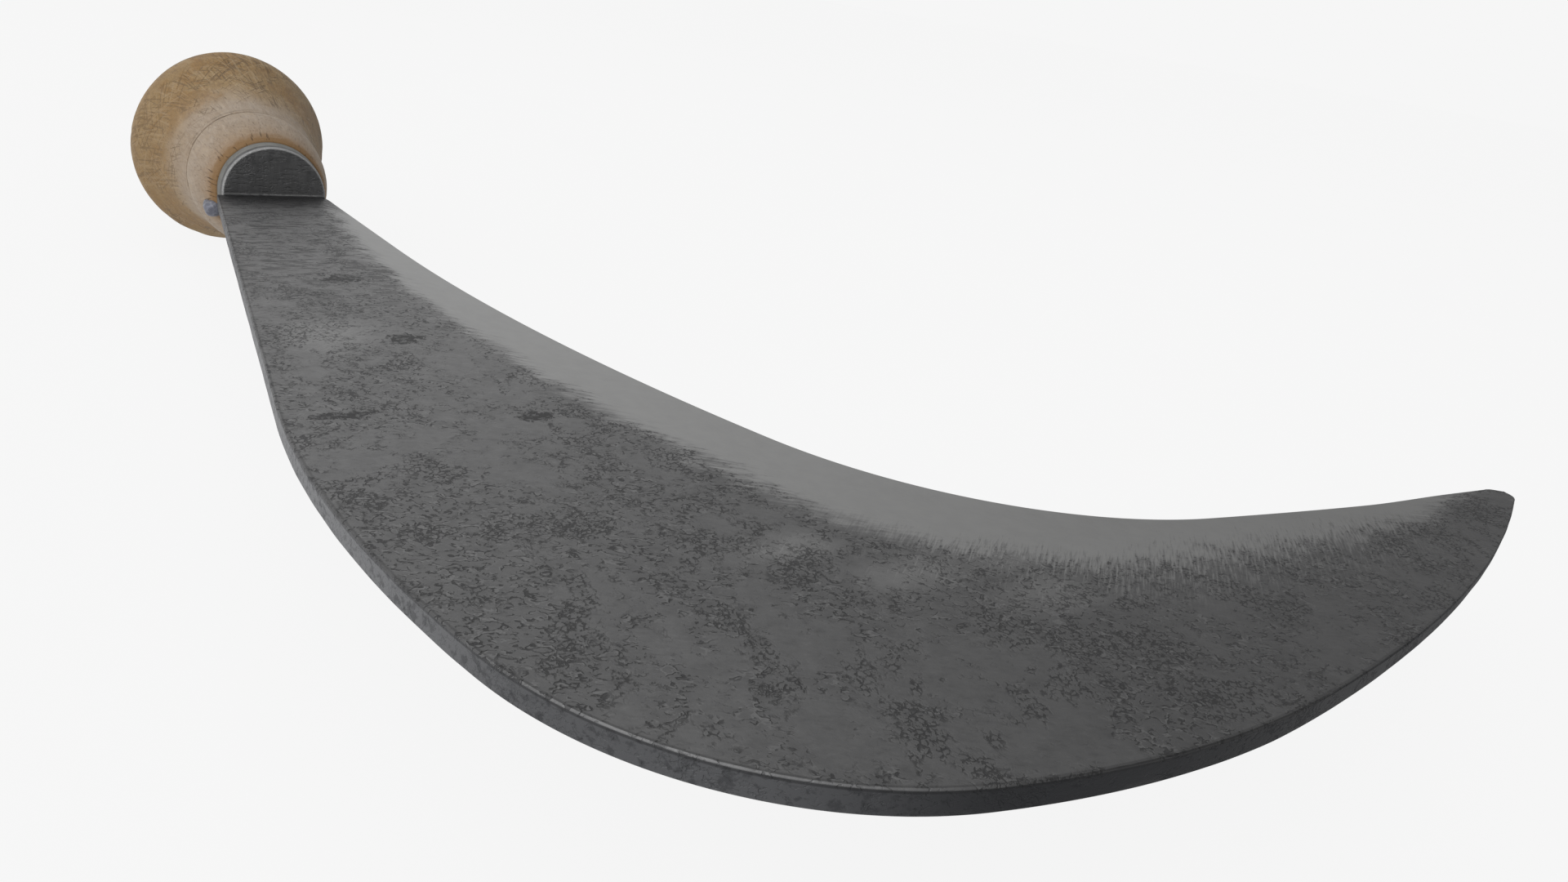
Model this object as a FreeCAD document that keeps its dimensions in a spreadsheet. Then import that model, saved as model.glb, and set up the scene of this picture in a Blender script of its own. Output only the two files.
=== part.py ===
import FreeCAD, Part
import math
import os
import Sketcher
from FreeCAD import Placement, Rotation, Vector

# Hand sickle: a forged blade with its bolster and tang, a ferrule ring, a turned wooden handle and
# the pin that locks the tang in the handle's neck.
#
# Millimetres. +Z is up out of the blade's upper face, +Y runs along the handle's axis out of its butt
# and +X points the way the blade reaches. The origin is the centre of the butt's flat end. The
# blade's upper face lies in the plane of the handle's axis.
#
# Inside each body, stations along the axis count from the bolster's front face, because the blade
# and the handle are both laid out from there. Each body is then moved forward by the handle's length.

DIMENSIONS = {
    # Blade in plan. Headings are measured from +X, and both sides run from the root to the point.
    "blade_thickness": (3.3, "plate thickness over the root, belly and bend"),
    "spine_root": (12.2, "root corner on the spine side, from the handle's axis"),
    "spine_heading": (-95.13, "heading of the spine's straight run"),
    "spine_run": (122.5, "length of the spine's straight run"),
    "spine_belly_radius": (182.6, "first curve of the spine"),
    "spine_belly_sweep": (20.09, "angle of the first curve"),
    "spine_bend_radius": (52.6, "tight curve of the spine round the heel of the crescent"),
    "spine_bend_sweep": (59.05, "angle of the tight curve"),
    "spine_front_radius": (137.5, "curve of the spine along the front of the crescent"),
    "spine_front_sweep": (19.46, "angle of the front curve"),
    "edge_root": (13.0, "root corner on the cutting side, from the handle's axis"),
    "edge_heading": (-84.43, "heading of the cutting side's straight run"),
    "edge_run": (38.6, "length of the cutting side's straight run"),
    "edge_belly_radius": (390.6, "first curve of the cutting edge"),
    "edge_belly_sweep": (16.32, "angle of the first curve"),
    "edge_bend_radius": (72.8, "tight curve of the cutting edge"),
    "edge_bend_sweep": (57.0, "angle of the tight curve"),
    "grind_root": (11.2, "root end of the grind line, from the handle's axis"),
    "grind_heading": (-96.6, "heading of the grind line's straight run"),
    "grind_run": (6.0, "length of the grind line's straight run"),
    "grind_belly_radius": (327.0, "first curve of the grind line"),
    "grind_belly_sweep": (28.8, "angle of the first curve"),
    "grind_bend_radius": (53.3, "tight curve of the grind line"),
    "grind_bend_sweep": (60.5, "angle of the tight curve"),
    "point_x": (177.5, "where the spine and the edge would meet, before rounding"),
    "point_y": (-202.77, "where the spine and the edge would meet, before rounding"),
    "point_rounding": (1.7, "radius of the blade's point in plan"),
    "spine_chamfer": (0.4, "chamfer along both edges of the spine"),
    # Distal taper: both faces close in on the middle plane from taper_start to the point.
    "taper_start": (57.0, "X where the plate begins to thin"),
    "taper_end": (180.0, "X where the taper ends, just past the point"),
    "point_thickness": (0.7, "plate thickness at taper_end"),
    # Bolster and tang, forged in one with the blade.
    "bolster_radius": (11.0, "front face of the bolster"),
    "bolster_rim": (11.25, "largest radius of the bolster, at its back"),
    "bolster_length": (1.4, "thickness of the bolster along the axis"),
    "bolster_chamfer": (0.35, "chamfer round the front face"),
    "root_hollow": (1.3, "radius of the hollow between the blade's faces and the bolster"),
    "upper_hollow_width": (21.6, "length of the upper hollow across the blade"),
    "lower_hollow_width": (19.8, "length of the lower hollow across the blade"),
    "tang_root": (7.6, "side of the square tang at the bolster"),
    "tang_point": (3.6, "side of the square tang at its end"),
    "tang_end": (80.0, "end of the tang, from the bolster's front face"),
    # Ferrule ring.
    "ferrule_back": (3.3, "back of the ferrule along the axis"),
    "ferrule_front_radius": (11.3, "outside of the ferrule at its front"),
    "ferrule_back_radius": (11.75, "outside of the ferrule at its back"),
    "ferrule_bore": (9.9, "inside radius of the ferrule and outside of the handle's tenon"),
    # Handle, a turned shape about the Y axis.
    "neck_radius": (11.9, "handle behind the ferrule"),
    "bead_end": (19.6, "end of the bead, at the turned line"),
    "bead_end_radius": (15.5, "handle on both sides of the turned line"),
    "bead_arc": (24.0, "profile radius of the bead"),
    "line_width": (0.8, "width of the turned line"),
    "line_depth": (0.4, "depth of the turned line"),
    "cove_end": (49.2, "end of the cove, where the crest begins"),
    "crest_foot_radius": (22.85, "handle at both feet of the crest"),
    "cove_arc": (90.0, "profile radius of the cove"),
    "crest_end": (61.2, "far foot of the crest"),
    "crest_arc": (14.5, "profile radius of the crest"),
    "grip_end": (106.0, "end of the waisted grip"),
    "grip_end_radius": (13.0, "handle at the end of the grip"),
    "grip_arc": (104.0, "profile radius of the waisted grip"),
    "butt_end": (113.0, "flat end of the handle"),
    "butt_face_radius": (7.0, "radius of the flat end"),
    "butt_arc": (8.0, "profile radius of the rounded butt"),
    "bore_clearance": (0.15, "gap round the tang in its bore"),
    # Pin through the neck and the tang, square to the axis.
    "pin_station": (6.6, "pin's place along the axis"),
    "pin_tilt": (19.5, "how far the pin's domed end lies below the blade's plane"),
    "pin_radius": (1.9, "shank of the pin"),
    "pin_depth": (7.0, "how far the pin goes past the axis"),
    "pin_reach": (14.0, "shoulder of the pin's domed end, from the axis"),
    "pin_dome": (0.9, "height of the domed end"),
    "pin_clearance": (0.05, "gap round the pin in its holes"),
}

doc = FreeCAD.newDocument("hand_sickle")


def fill_sheet():
    sheet = doc.addObject("Spreadsheet::Sheet", "dims")
    for row, (name, (number, note)) in enumerate(DIMENSIONS.items(), start=1):
        sheet.set(f"A{row}", name)
        sheet.set(f"B{row}", str(number))
        sheet.set(f"C{row}", note)
        sheet.setAlias(f"B{row}", name)
    doc.recompute()
    return sheet


sheet = fill_sheet()


def value(expression):
    """The number that an expression of the sheet's cells comes to."""
    return float(sheet.evalExpression(expression))


# ---------------------------------------------------------------- bodies and sketches

def new_body(label):
    """A body whose own origin is the bolster's front face, placed with the butt at the origin."""
    body = doc.addObject("PartDesign::Body", label)
    body.Label = label
    body.setExpression("Placement.Base.y", "-dims.butt_end")
    return body


def origin_item(body, role):
    return next(item for item in body.Origin.OriginFeatures if item.Role == role)


def new_sketch(body, name, role, rise=None):
    """A sketch on one of the body's own origin planes; rise is an expression along its normal."""
    sketch = body.newObject("Sketcher::SketchObject", name)
    sketch.AttachmentSupport = [(origin_item(body, role), "")]
    sketch.MapMode = "FlatFace"
    if rise is not None:
        sketch.setExpression("AttachmentOffset.Base.z", rise)
    return sketch


def bind(sketch, name, expression, kind, *where, unit=""):
    """Add a dimension to the sketch, name it and drive it from the sheet."""
    datum = value(expression)
    if unit:
        datum = math.radians(datum)
    index = sketch.addConstraint(Sketcher.Constraint(kind, *where, datum))
    sketch.renameConstraint(index, name)
    sketch.setExpression(f"Constraints.{name}", f"({expression}){unit}")


def bind_point(sketch, item, end, name, x, y):
    """Place one end of a sketch item from the sketch's origin by two signed expressions."""
    for axis, expression, axis_line in (("X", x, -2), ("Y", y, -1)):
        if expression == "0":
            sketch.addConstraint(Sketcher.Constraint("PointOnObject", item, end, axis_line))
        elif value(expression) < 0:
            bind(sketch, name + axis, f"-({expression})", f"Distance{axis}", item, end, -1, 1)
        else:
            bind(sketch, name + axis, expression, f"Distance{axis}", -1, 1, item, end)


def arc_between(start, end, radius, left):
    """Counter-clockwise arc through two points; left puts its centre left of the way there."""
    half = (end - start) * 0.5
    to_centre = Vector(-half.y, half.x, 0).normalize()
    to_centre *= math.sqrt(radius ** 2 - half.Length ** 2) * (1 if left else -1)
    centre = start + half + to_centre
    first, last = (start, end) if left else (end, start)
    begin = math.atan2(first.y - centre.y, first.x - centre.x)
    finish = math.atan2(last.y - centre.y, last.x - centre.x)
    if finish < begin:
        finish += 2 * math.pi
    return Part.ArcOfCircle(Part.Circle(centre, Vector(0, 0, 1), radius), begin, finish)


def draw_loop(sketch, corners, arcs=None):
    """A closed loop through corners, (name, x expression, y expression) each. A side is straight
    unless arcs gives, for the corner it starts at, (radius expression, centre on the left)."""
    arcs = arcs or {}
    points = [Vector(value(x), value(y), 0) for _, x, y in corners]
    sides = []
    for index, (name, _, _) in enumerate(corners):
        start, end = points[index], points[(index + 1) % len(points)]
        if name in arcs:
            radius, left = arcs[name]
            item = sketch.addGeometry(arc_between(start, end, value(radius), left), False)
            sides.append((item, 1, 2) if left else (item, 2, 1))
            bind(sketch, name + "Arc", radius, "Radius", item)
        else:
            item = sketch.addGeometry(Part.LineSegment(start, end), False)
            sides.append((item, 1, 2))
    for index, (item, first, last) in enumerate(sides):
        following = sides[(index + 1) % len(sides)]
        sketch.addConstraint(Sketcher.Constraint("Coincident", item, last, following[0], following[1]))
        bind_point(sketch, item, first, *corners[index])


def revolve(body, name, corners, arcs=None):
    """A profile drawn as (along the handle's axis, radius), turned about that axis."""
    sketch = new_sketch(body, name + "_profile", "YZ_Plane")
    draw_loop(sketch, corners, arcs)
    turned = body.newObject("PartDesign::Revolution", name)
    turned.Profile = sketch
    turned.ReferenceAxis = (sketch, ["H_Axis"])
    turned.Angle = 360
    doc.recompute()


def square_loft(body, kind, name, first, last):
    """Loft between two squares round the handle's axis; first and last are (side, station)."""
    sections = []
    for end, (side, station) in (("front", first), ("back", last)):
        sketch = new_sketch(body, f"{name}_{end}", "XZ_Plane", rise=f"-({station})")
        half = f"({side}) / 2"
        draw_loop(sketch, [("a", f"-{half}", f"-{half}"), ("b", half, f"-{half}"),
                           ("c", half, half), ("d", f"-{half}", half)])
        sections.append(sketch)
    loft = body.newObject(kind, name)
    loft.Profile = sections[0]
    loft.Sections = sections[1:]
    loft.Ruled = True
    doc.recompute()


# ---------------------------------------------------------------- the blade's outline

# The named curves of each side, in order, between its straight run and its last curve to the point.
CURVES = {"spine": ("belly", "bend", "front"), "edge": ("belly", "bend"), "grind": ("belly", "bend")}


class Walk:
    """Walks one side of the blade from its root, turning left, and leaves its curves in a sketch."""

    def __init__(self, sketch, side, x):
        self.sketch = sketch
        self.place = Vector(x, 0, 0)
        self.heading = math.radians(value(f"dims.{side}_heading"))
        self.items = []

    def add(self, curve):
        self.items.append(self.sketch.addGeometry(curve, False))

    def line(self, length):
        end = self.place + Vector(math.cos(self.heading), math.sin(self.heading), 0) * length
        self.add(Part.LineSegment(self.place, end))
        self.place = end

    def arc(self, radius, sweep):
        centre = self.place + Vector(-math.sin(self.heading), math.cos(self.heading), 0) * radius
        begin = self.heading - math.pi / 2
        self.add(Part.ArcOfCircle(Part.Circle(centre, Vector(0, 0, 1), radius), begin, begin + sweep))
        self.heading += sweep
        begin += sweep
        self.place = centre + Vector(math.cos(begin), math.sin(begin), 0) * radius


def walk_side(sketch, side, x):
    """One side of the blade: a straight run, the side's curves and a last one out to the point."""
    walk = Walk(sketch, side, x)
    walk.line(value(f"dims.{side}_run"))
    for curve in CURVES[side]:
        sweep = math.radians(value(f"dims.{side}_{curve}_sweep"))
        walk.arc(value(f"dims.{side}_{curve}_radius"), sweep)
    ahead = Vector(value("dims.point_x"), value("dims.point_y"), 0) - walk.place
    turn = math.atan2(ahead.y, ahead.x) - walk.heading
    walk.arc(ahead.Length / (2 * math.sin(turn)), 2 * turn)
    return walk.items


def draw_outline(sketch, side):
    """The blade in plan: root and spine, closed by the cutting edge or by the grind line."""
    spine_x, side_x = value("-dims.spine_root"), value(f"dims.{side}_root")
    root = sketch.addGeometry(Part.LineSegment(Vector(spine_x, 0, 0), Vector(side_x, 0, 0)), False)
    bind_point(sketch, root, 1, "SpineRoot", "-dims.spine_root", "0")
    bind_point(sketch, root, 2, "SideRoot", f"dims.{side}_root", "0")
    lasts = []
    for name, x, root_end in (("spine", spine_x, 1), (side, side_x, 2)):
        items = walk_side(sketch, name, x)
        sketch.addConstraint(Sketcher.Constraint("Coincident", root, root_end, items[0], 1))
        for before, after in zip(items, items[1:]):
            sketch.addConstraint(Sketcher.Constraint("Tangent", before, 2, after, 1))
        bind(sketch, name + "Heading", f"dims.{name}_heading", "Angle", items[0], unit=" * 1 deg")
        bind(sketch, name + "Run", f"dims.{name}_run", "Distance", items[0])
        for curve, item in zip(CURVES[name], items[1:]):
            cell = f"dims.{name}_{curve}"
            bind(sketch, f"{name}_{curve}_radius", cell + "_radius", "Radius", item)
            bind(sketch, f"{name}_{curve}_sweep", cell + "_sweep", "Angle", item, unit=" * 1 deg")
        lasts.append(items[-1])
    sketch.addConstraint(Sketcher.Constraint("Coincident", lasts[0], 2, lasts[1], 2))
    bind_point(sketch, lasts[0], 2, "Point", "dims.point_x", "dims.point_y")


# ---------------------------------------------------------------- blade

# The heights of the plate's two faces.
LEVELS = {"upper": "0", "lower": "-dims.blade_thickness"}


def on_level(edge, level):
    box = edge.BoundBox
    return box.ZLength < 1e-6 and abs(box.ZMin - level) < 1e-6


def longest_spine_edge(shape, level):
    """Name of the longest edge at one height between a flat face and the spine's upright wall."""
    found = {}
    for number, edge in enumerate(shape.Edges, start=1):
        if not on_level(edge, level) or edge.BoundBox.YLength < 1e-6:
            continue
        for face in shape.ancestorsOfType(edge, Part.Face):
            u, v = face.Surface.parameter(edge.CenterOfMass)
            if abs(face.normalAt(u, v).z) < 1e-3:
                found[edge.Length] = f"Edge{number}"
    return found[max(found)]


def point_edges(shape):
    """The upright edges where the two sides of the plate meet at the point."""
    x = value("dims.point_x")
    return [f"Edge{number}" for number, edge in enumerate(shape.Edges, start=1)
            if edge.BoundBox.XMin > x - 1e-3]


def add_plate(body):
    """The plate: its widest outline is the middle plane, where the cutting edge is, and both faces
    rise from there over the ground bevels."""
    middle = new_sketch(body, "middle_outline", "XY_Plane", rise="-dims.blade_thickness / 2")
    draw_outline(middle, "edge")
    for name, level in LEVELS.items():
        outline = new_sketch(body, name + "_outline", "XY_Plane", rise=level)
        draw_outline(outline, "grind")
        half = body.newObject("PartDesign::AdditiveLoft", name + "_half")
        half.Profile = middle
        half.Sections = [outline]
        half.Ruled = True
        doc.recompute()
    return half


def ease_plate(body, plate):
    """Round the point in plan and chamfer both long edges of the spine."""
    rounding = body.newObject("PartDesign::Fillet", "point_rounding")
    rounding.Base = (plate, point_edges(plate.Shape))
    rounding.setExpression("Radius", "dims.point_rounding")
    doc.recompute()
    # One edge at each level is enough: the chamfer follows the spine's whole tangent run.
    chamfer = body.newObject("PartDesign::Chamfer", "spine_chamfer")
    edges = [longest_spine_edge(rounding.Shape, value(level)) for level in LEVELS.values()]
    chamfer.Base = (rounding, edges)
    chamfer.setExpression("Size", "dims.spine_chamfer")
    doc.recompute()


def thin_towards_point(body):
    """The distal taper takes a thin wedge off each face of the part that reaches to the point."""
    drop = "(dims.blade_thickness - dims.point_thickness) / 2"
    depths = {"upper": f"-{drop}", "lower": f"-dims.blade_thickness + {drop}"}
    for name, level in LEVELS.items():
        sketch = new_sketch(body, name + "_taper_profile", "XZ_Plane")
        draw_loop(sketch, [("start", "dims.taper_start", level), ("outer", "dims.taper_end", level),
                           ("inner", "dims.taper_end", depths[name])])
        cut = body.newObject("PartDesign::Pocket", name + "_taper")
        cut.Profile = sketch
        cut.Type = "ThroughAll"
        cut.Midplane = True
        doc.recompute()


def fill_root_hollows(body):
    """Concave fillets where the plate's two faces run into the bolster's front face."""
    tops = {"upper": "dims.root_hollow", "lower": "-dims.blade_thickness - dims.root_hollow"}
    for name, level in LEVELS.items():
        sketch = new_sketch(body, name + "_hollow_profile", "YZ_Plane")
        centre_on_left = name == "lower"
        draw_loop(sketch, [("corner", "0", level), ("height", "0", tops[name]),
                           ("foot", "-dims.root_hollow", level)],
                  {"height": ("dims.root_hollow", centre_on_left)})
        hollow = body.newObject("PartDesign::Pad", name + "_hollow")
        hollow.Profile = sketch
        hollow.Midplane = True
        hollow.setExpression("Length", f"dims.{name}_hollow_width")
        doc.recompute()


def make_blade():
    body = new_body("blade")
    plate = add_plate(body)
    ease_plate(body, plate)
    thin_towards_point(body)
    revolve(body, "bolster", [
        ("axis", "0", "0"),
        ("face", "0", "dims.bolster_radius - dims.bolster_chamfer"),
        ("rim", "dims.bolster_chamfer", "dims.bolster_radius"),
        ("back", "dims.bolster_length", "dims.bolster_rim"),
        ("centre", "dims.bolster_length", "0"),
    ])
    fill_root_hollows(body)
    square_loft(body, "PartDesign::AdditiveLoft", "tang",
                ("dims.tang_root", "dims.bolster_length"), ("dims.tang_point", "dims.tang_end"))
    drill_for_pin(body)
    return body


# ---------------------------------------------------------------- pin and its holes

def drill_for_pin(body):
    """A blind hole across the axis, tilted below the blade's plane, open on the spine side."""
    hole = body.newObject("PartDesign::SubtractiveCylinder", "pin_hole_" + body.Label)
    hole.AttachmentSupport = [(origin_item(body, "XY_Plane"), "")]
    hole.MapMode = "FlatFace"
    hole.setExpression("Radius", "dims.pin_radius + dims.pin_clearance")
    hole.setExpression("Height", "dims.pin_depth + dims.pin_reach + dims.pin_dome")
    place_on_pin_axis(hole, "AttachmentOffset")
    doc.recompute()


def place_on_pin_axis(item, prop, station="dims.pin_station"):
    """Stand a shape made along its own Z on the pin's axis, starting at the pin's blind end."""
    setattr(item, prop, Placement(Vector(), Rotation(Vector(0, 1, 0), -90)))
    item.setExpression(f"{prop}.Rotation.Angle", "-(90 + dims.pin_tilt) * 1 deg")
    item.setExpression(f"{prop}.Base.x", "dims.pin_depth * cos(dims.pin_tilt * 1 deg)")
    item.setExpression(f"{prop}.Base.y", station)
    item.setExpression(f"{prop}.Base.z", "dims.pin_depth * sin(dims.pin_tilt * 1 deg)")


def make_neck_pin():
    body = new_body("neck_pin")
    sketch = new_sketch(body, "pin_profile", "XZ_Plane")
    shoulder = "dims.pin_depth + dims.pin_reach"
    draw_loop(sketch, [("axis", "0", "0"), ("heel", "dims.pin_radius", "0"),
                       ("shoulder", "dims.pin_radius", shoulder),
                       ("dome", "0", shoulder + " + dims.pin_dome")],
              {"shoulder": ("(dims.pin_radius ^ 2 + dims.pin_dome ^ 2) / (2 * dims.pin_dome)", True)})
    turned = body.newObject("PartDesign::Revolution", "pin")
    turned.Profile = sketch
    turned.ReferenceAxis = (sketch, ["V_Axis"])
    turned.Angle = 360
    place_on_pin_axis(body, "Placement", "dims.pin_station - dims.butt_end")
    return body


# ---------------------------------------------------------------- ferrule and handle

def make_ferrule():
    body = new_body("ferrule")
    revolve(body, "ring", [
        ("bore_front", "dims.bolster_length", "dims.ferrule_bore"),
        ("front", "dims.bolster_length", "dims.ferrule_front_radius"),
        ("back", "dims.ferrule_back", "dims.ferrule_back_radius"),
        ("bore_back", "dims.ferrule_back", "dims.ferrule_bore"),
    ])
    return body


def make_handle():
    body = new_body("handle")
    revolve(body, "turning", [
        ("axis", "dims.bolster_length", "0"),
        ("tenon", "dims.bolster_length", "dims.ferrule_bore"),
        ("shoulder", "dims.ferrule_back", "dims.ferrule_bore"),
        ("neck", "dims.ferrule_back", "dims.neck_radius"),
        ("line_front", "dims.bead_end - dims.line_width / 2", "dims.bead_end_radius"),
        ("line_floor", "dims.bead_end", "dims.bead_end_radius - dims.line_depth"),
        ("line_back", "dims.bead_end + dims.line_width / 2", "dims.bead_end_radius"),
        ("crest_front", "dims.cove_end", "dims.crest_foot_radius"),
        ("crest_back", "dims.crest_end", "dims.crest_foot_radius"),
        ("grip_end", "dims.grip_end", "dims.grip_end_radius"),
        ("butt_rim", "dims.butt_end", "dims.butt_face_radius"),
        ("butt_centre", "dims.butt_end", "0"),
    ], {
        "neck": ("dims.bead_arc", False),
        "line_back": ("dims.cove_arc", True),
        "crest_front": ("dims.crest_arc", False),
        "crest_back": ("dims.grip_arc", True),
        "grip_end": ("dims.butt_arc", False),
    })
    gap = " + 2 * dims.bore_clearance"
    square_loft(body, "PartDesign::SubtractiveLoft", "tang_bore",
                ("dims.tang_root" + gap, "dims.bolster_length"),
                ("dims.tang_point" + gap, "dims.tang_end + dims.bore_clearance"))
    drill_for_pin(body)
    return body


# ---------------------------------------------------------------- checks and files

def check_and_write(bodies):
    doc.recompute()
    for item in doc.Objects:
        if "Invalid" in item.State or "Error" in item.State:
            raise SystemExit(f"{item.Label} did not compute: {item.State}")
    for body in bodies:
        if body.Shape.isNull() or not body.Shape.isValid() or len(body.Shape.Solids) != 1:
            raise SystemExit(f"{body.Label} is not one valid solid")
    os.makedirs("parts", exist_ok=True)
    for body in bodies:
        body.Shape.exportStep(f"parts/{body.Label}.step")
        box = body.Shape.BoundBox
        print(f"{body.Label}: {box.XLength:.1f} x {box.YLength:.1f} x {box.ZLength:.1f} mm, "
              f"{body.Shape.Volume / 1000:.2f} cm3")


check_and_write([make_blade(), make_ferrule(), make_handle(), make_neck_pin()])
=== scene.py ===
import math
from functools import partial, reduce

import bmesh
import bpy
import numpy as np
from mathutils import Matrix, Vector, noise


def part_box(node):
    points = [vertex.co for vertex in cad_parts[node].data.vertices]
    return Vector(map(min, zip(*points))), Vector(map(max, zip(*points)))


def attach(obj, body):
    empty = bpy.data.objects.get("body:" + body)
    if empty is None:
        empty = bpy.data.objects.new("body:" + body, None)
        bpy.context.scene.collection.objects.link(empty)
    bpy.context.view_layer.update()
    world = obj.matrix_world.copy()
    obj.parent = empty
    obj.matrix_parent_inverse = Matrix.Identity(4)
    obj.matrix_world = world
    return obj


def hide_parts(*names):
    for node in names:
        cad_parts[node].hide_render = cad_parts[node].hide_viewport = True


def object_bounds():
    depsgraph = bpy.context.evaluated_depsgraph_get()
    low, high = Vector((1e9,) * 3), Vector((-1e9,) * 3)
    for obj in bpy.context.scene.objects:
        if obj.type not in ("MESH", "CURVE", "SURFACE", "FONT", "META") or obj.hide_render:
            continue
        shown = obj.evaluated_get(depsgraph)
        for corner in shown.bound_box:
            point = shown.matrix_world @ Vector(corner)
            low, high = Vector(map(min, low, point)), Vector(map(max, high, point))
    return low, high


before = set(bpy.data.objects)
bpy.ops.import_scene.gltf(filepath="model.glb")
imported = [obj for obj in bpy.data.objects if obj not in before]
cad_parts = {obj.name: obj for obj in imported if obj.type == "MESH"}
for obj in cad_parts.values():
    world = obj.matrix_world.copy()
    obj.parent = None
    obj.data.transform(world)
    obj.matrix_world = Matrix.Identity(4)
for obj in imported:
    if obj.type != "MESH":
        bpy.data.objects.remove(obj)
cad_low, cad_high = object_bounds()

# Hand sickle. Lengths in the mesh code are in millimetres, and MM brings them to the frame's
# metres. y = 0 is the butt of the handle and FRONT the bolster's front face, both on the handle's
# axis.
MM = 0.001
BOLSTER_LENGTH = 1.4
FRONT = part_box("ferrule")[0].y / MM - BOLSTER_LENGTH
BODY = "root"

# ---------------------------------------------------------------- curves in plan

PLATE = 3.3
HALF = PLATE / 2
TAPER_START, TAPER_END, POINT_PLATE = 57.0, 180.0, 0.7
POINT = np.array([177.5, -202.77])
POINT_ROUNDING = 2.6
# Close to the point the edge swells out: how much, from which x, and over which run.
SWELL, SWELL_FROM, SWELL_RUN = 0.8, 132.0, 26.0
CHAMFER = 0.22
EDGE_FLAT = 0.05
# Spacing of the points along the curves.
STEP = 0.25
# (root x, heading, straight run, ((radius, sweep), ...)), all turning left from root to point.
SPINE = (-12.2, -95.13, 122.5, ((182.6, 20.09), (52.6, 59.05), (137.5, 19.46)))
EDGE = (13.0, -84.43, 38.6, ((390.6, 16.32), (72.8, 57.0)))
GRIND = (11.2, -96.6, 6.0, ((327.0, 28.8), (53.3, 60.5)))


def turn_left(place, heading, radius, sweep):
    """Points of an arc that starts at place with that heading, without its first point."""
    count = max(2, int(radius * sweep / STEP))
    normal = np.array([-math.sin(heading), math.cos(heading)])
    centre = place + normal * radius
    turns = heading - math.pi / 2 + np.linspace(0, sweep, count + 1)[1:]
    return centre + radius * np.c_[np.cos(turns), np.sin(turns)]


def side_curve(root_x, heading, run, curves):
    """One side of the plate from the root to the sharp point, in the bolster's own place."""
    heading = math.radians(heading)
    place = np.array([root_x, 0.0])
    ahead = np.array([math.cos(heading), math.sin(heading)])
    parts = [place + ahead * np.linspace(0, run, int(run / STEP) + 2)[:, None]]
    place = parts[0][-1]
    for radius, sweep in curves:
        sweep = math.radians(sweep)
        parts.append(turn_left(place, heading, radius, sweep))
        place = parts[-1][-1]
        heading += sweep
    rest = POINT - place
    turn = math.atan2(rest[1], rest[0]) - heading
    parts.append(turn_left(place, heading, np.hypot(*rest) / (2 * math.sin(turn)), 2 * turn))
    return np.vstack(parts)


def smooth(share, height=1.0):
    """Smooth step from 0 up to height, over shares from 0 to 1."""
    share = np.clip(share, 0, 1)
    return height * share ** 2 * (3 - 2 * share)


def lengths(curve):
    return np.r_[0, np.cumsum(np.hypot(*np.diff(curve, axis=0).T))]


def at_length(curve, run):
    total = lengths(curve)
    return np.c_[np.interp(run, total, curve[:, 0]), np.interp(run, total, curve[:, 1])]


def round_point(spine, edge):
    """Cut both sides where they touch the point's rounding and give each its half of the arc."""
    inner = []
    for curve, side in ((spine, 1), (edge, -1)):
        way = np.gradient(curve, axis=0)
        way /= np.hypot(*way.T)[:, None]
        inner.append(curve + side * POINT_ROUNDING * np.c_[-way[:, 1], way[:, 0]])
    near = int(4 * POINT_ROUNDING / math.sin(0.3) / STEP)
    gap = np.hypot(*(inner[0][-near:, None] - inner[1][None, -near:]).transpose(2, 0, 1))
    cut_s, cut_e = (k - near for k in np.unravel_index(gap.argmin(), gap.shape))
    centre = (inner[0][cut_s] + inner[1][cut_e]) / 2
    from_s, from_e = (math.atan2(*(curve[cut] - centre)[::-1])
                      for curve, cut in ((spine, cut_s), (edge, cut_e)))
    tip = from_s + ((from_e - from_s) % (2 * math.pi)) / 2
    sides = []
    for curve, cut, start in ((spine, cut_s, from_s), (edge, cut_e, from_s + 2 * (tip - from_s))):
        turns = np.linspace(start, tip, 40)
        arc = centre + POINT_ROUNDING * np.c_[np.cos(turns), np.sin(turns)]
        sides.append(np.vstack([curve[:cut], arc]))
    return sides


def cross_2d(a, b):
    return a[..., 0] * b[..., 1] - a[..., 1] * b[..., 0]


def crossing(start, way, curve):
    """Length along the curve where a ray from start first meets it."""
    rel = curve - start
    side = cross_2d(way, rel)
    hits = np.nonzero((side[:-1] * side[1:] <= 0) & ((rel[:-1] @ way) > -0.5))[0]
    if not len(hits):
        return None
    first = hits[np.argmin(rel[hits] @ way)]
    share = side[first] / (side[first] - side[first + 1] + 1e-12)
    run = lengths(curve)
    return run[first] + share * (run[first + 1] - run[first])


edge_side = side_curve(*EDGE)
edge_side[:, 1] += smooth((edge_side[:, 0] - SWELL_FROM) / SWELL_RUN, SWELL)
spine_plan, edge_plan = round_point(side_curve(*SPINE), edge_side)
grind_plan = side_curve(*GRIND)

STATIONS = 520
# The last stations crowd into the point, and stop just short of it.
NOSE_STATIONS, NOSE_FROM, NOSE_END, NOSE_THICKNESS = 60, 0.97, 0.9990, 0.45
RUNGS = 160


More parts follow.
